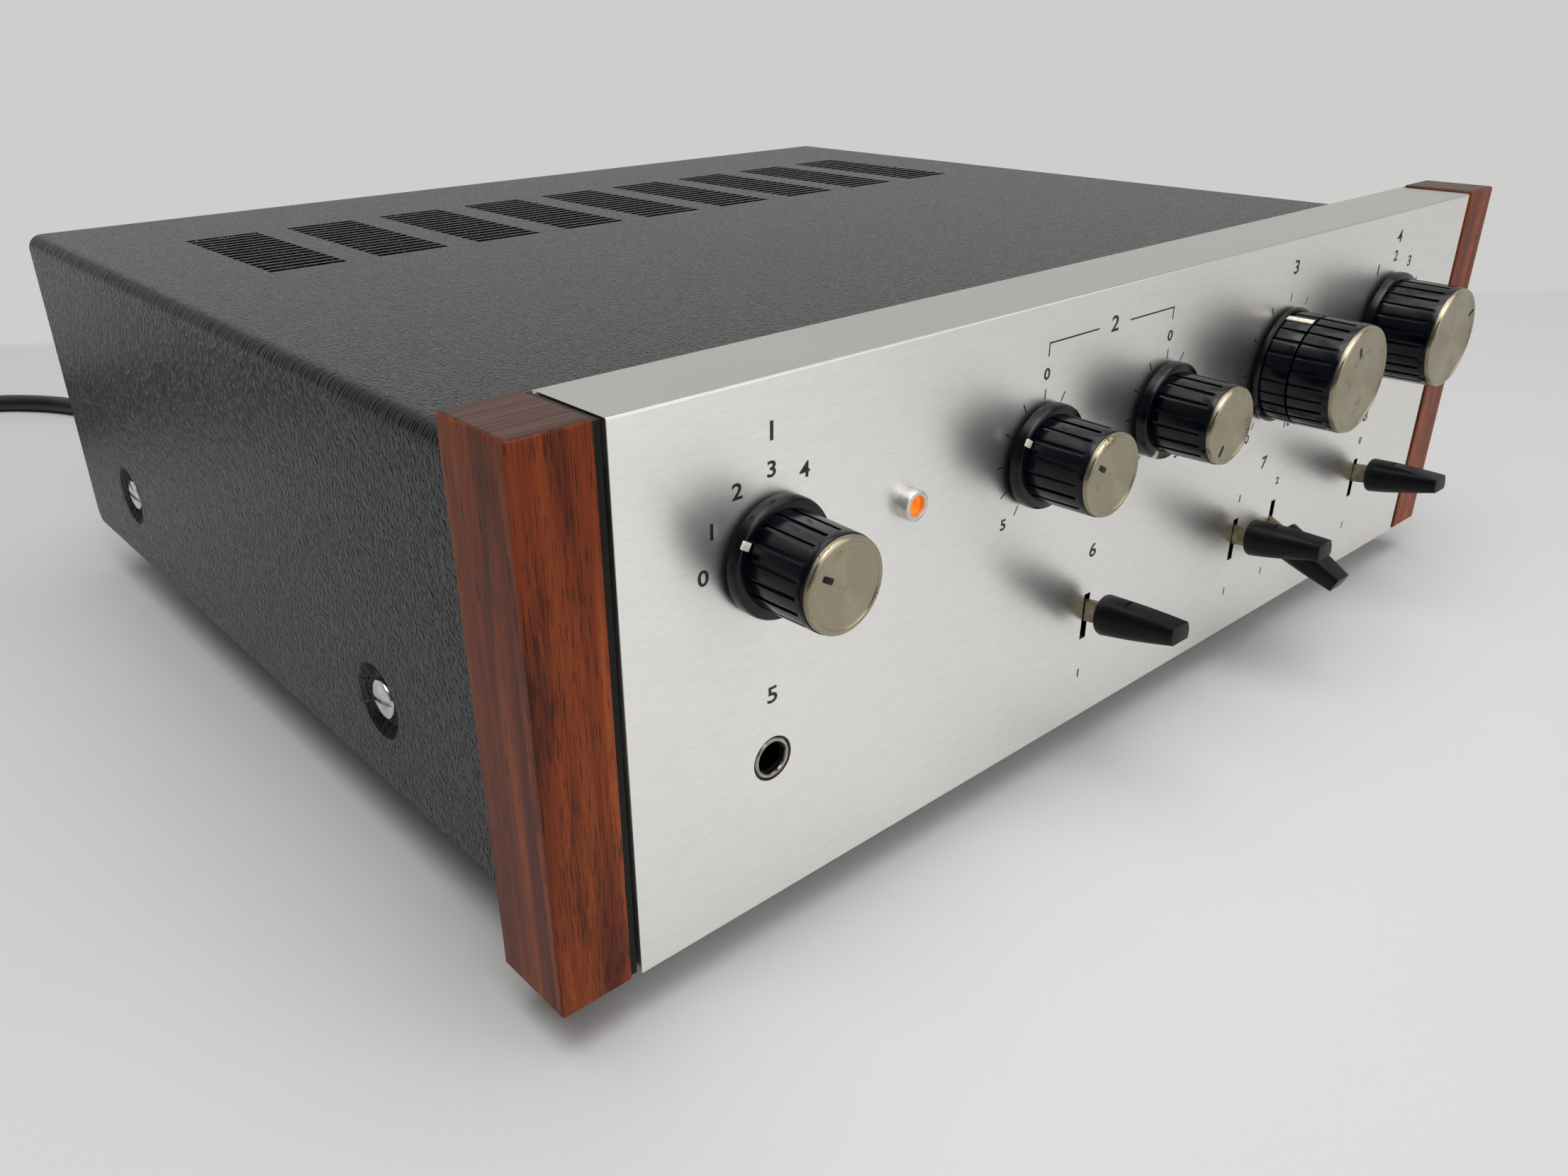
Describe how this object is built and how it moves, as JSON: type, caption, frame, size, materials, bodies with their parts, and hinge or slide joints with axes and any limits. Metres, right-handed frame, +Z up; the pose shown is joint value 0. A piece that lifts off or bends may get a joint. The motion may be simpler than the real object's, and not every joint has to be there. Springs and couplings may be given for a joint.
{
  "type": "integrated amplifier",
  "caption": "Compact stereo amplifier with a brushed front plate, wood cheeks, ribbed rotary knobs, lever switches and a vented vinyl-clad cover.",
  "frame": {"origin": "centre of the base on the surface it stands on, without its mains lead", "axes": "+X to the right seen from the front, +Y to the back, +Z up"},
  "size_m": [0.435, 0.5269, 0.113],
  "materials": {
    "brushed_plate": "satin, brushed along its length, clear anodised",
    "wood": "lacquered reddish brown",
    "black_strip": "matt",
    "vinyl": "black vinyl-clad steel with a leather grain",
    "zinc": "zinc plated",
    "steel": "bright",
    "nickel": "nickel plated",
    "rubber": "black",
    "knob_black": "glossy black",
    "spun_cap": "spun, champagne",
    "lens": "orange, clear",
    "bulb": "clear glass",
    "lever_black": "satin black",
    "core": "varnished laminations",
    "winding": "yellow tape over copper",
    "board": "paper laminate",
    "can": "blue sleeve",
    "sink": "black anodised",
    "bakelite": "moulded",
    "cord_black": "black",
    "index_white": "white enamel in the knobs' index marks",
    "ink": "black screened scale marks"
  },
  "bodies": {
    "cabinet": {"faceplate": "brushed_plate", "wood_cheek_left": "wood", "wood_cheek_right": "wood", "end_strips": "black_strip", "front_subpanel": "zinc", "bottom_pan": "zinc", "rear_panel": "zinc", "top_cover": "vinyl", "cover_screws": "nickel", "feet": "rubber", "foot_screws": "steel", "lamp_bezel": "brushed_plate", "lamp_lens": "lens", "pilot_lamp": "bulb", "phones_jack": "nickel", "rotary_switches": "steel", "tone_controls": "steel", "volume_control": "steel", "control_nuts": "nickel", "lever_switches": "steel", "transformer_core": "core", "transformer_winding": "winding", "circuit_boards": "board", "filter_capacitors": "can", "heat_sink": "sink", "output_transistors": "nickel", "phono_socket_plate": "bakelite", "phono_sockets": "nickel", "speaker_terminals": "bakelite", "fuse_holder": "bakelite", "ground_post": "nickel", "cord_relief": "cord_black", "mains_cord": "cord_black", "cord_coil": "cord_black", "mains_plug": "cord_black"},
    "speaker": {"speaker_knob": "knob_black", "speaker_knob_cap": "spun_cap", "speaker_shaft": "steel"},
    "bass": {"bass_knob": "knob_black", "bass_knob_cap": "spun_cap", "bass_shaft": "steel"},
    "treble": {"treble_knob": "knob_black", "treble_knob_cap": "spun_cap", "treble_shaft": "steel"},
    "volume": {"volume_knob": "knob_black", "volume_knob_cap": "spun_cap", "volume_shaft": "steel"},
    "selector": {"selector_knob": "knob_black", "selector_knob_cap": "spun_cap", "selector_shaft": "steel"},
    "balance": {"balance_ring": "knob_black", "balance_shaft": "steel"},
    "loudness": {"loudness_lever": "nickel", "loudness_lever_cap": "lever_black"},
    "tape_1": {"tape_1_lever": "nickel", "tape_1_lever_cap": "lever_black"},
    "tape_2": {"tape_2_lever": "nickel", "tape_2_lever_cap": "lever_black"},
    "mode": {"mode_lever": "nickel", "mode_lever_cap": "lever_black"}
  },
  "joints": [
    {"name": "speaker_turn", "type": "hinge", "parent": "cabinet", "child": "speaker", "pos_m": [-0.117, -0.12975, 0.0822], "axis": [0, 1, 0], "range_deg": [-30, 90]},
    {"name": "bass_turn", "type": "hinge", "parent": "cabinet", "child": "bass", "pos_m": [-0.0445, -0.12975, 0.0822], "axis": [0, 1, 0], "range_deg": [-90, 210]},
    {"name": "treble_turn", "type": "hinge", "parent": "cabinet", "child": "treble", "pos_m": [-0.001, -0.12975, 0.0822], "axis": [0, 1, 0], "range_deg": [0, 300]},
    {"name": "volume_turn", "type": "hinge", "parent": "cabinet", "child": "volume", "pos_m": [0.052, -0.12975, 0.0822], "axis": [0, 1, 0], "range_deg": [-130, 170]},
    {"name": "selector_turn", "type": "hinge", "parent": "cabinet", "child": "selector", "pos_m": [0.1075, -0.12975, 0.0822], "axis": [0, 1, 0], "range_deg": [-90, 0]},
    {"name": "balance_turn", "type": "hinge", "parent": "cabinet", "child": "balance", "pos_m": [0.052, -0.12975, 0.0822], "axis": [0, 1, 0], "range_deg": [-130, 170]},
    {"name": "loudness_flip", "type": "hinge", "parent": "cabinet", "child": "loudness", "pos_m": [-0.0208, -0.12375, 0.0384], "axis": [1, 0, 0], "range_deg": [0, 31]},
    {"name": "tape_1_flip", "type": "hinge", "parent": "cabinet", "child": "tape_1", "pos_m": [0.0439, -0.12375, 0.0384], "axis": [1, 0, 0], "range_deg": [0, 31]},
    {"name": "tape_2_flip", "type": "hinge", "parent": "cabinet", "child": "tape_2", "pos_m": [0.063, -0.12375, 0.0384], "axis": [1, 0, 0], "range_deg": [-31, 0]},
    {"name": "mode_flip", "type": "hinge", "parent": "cabinet", "child": "mode", "pos_m": [0.1104, -0.12375, 0.0384], "axis": [1, 0, 0], "range_deg": [0, 31]}
  ]
}
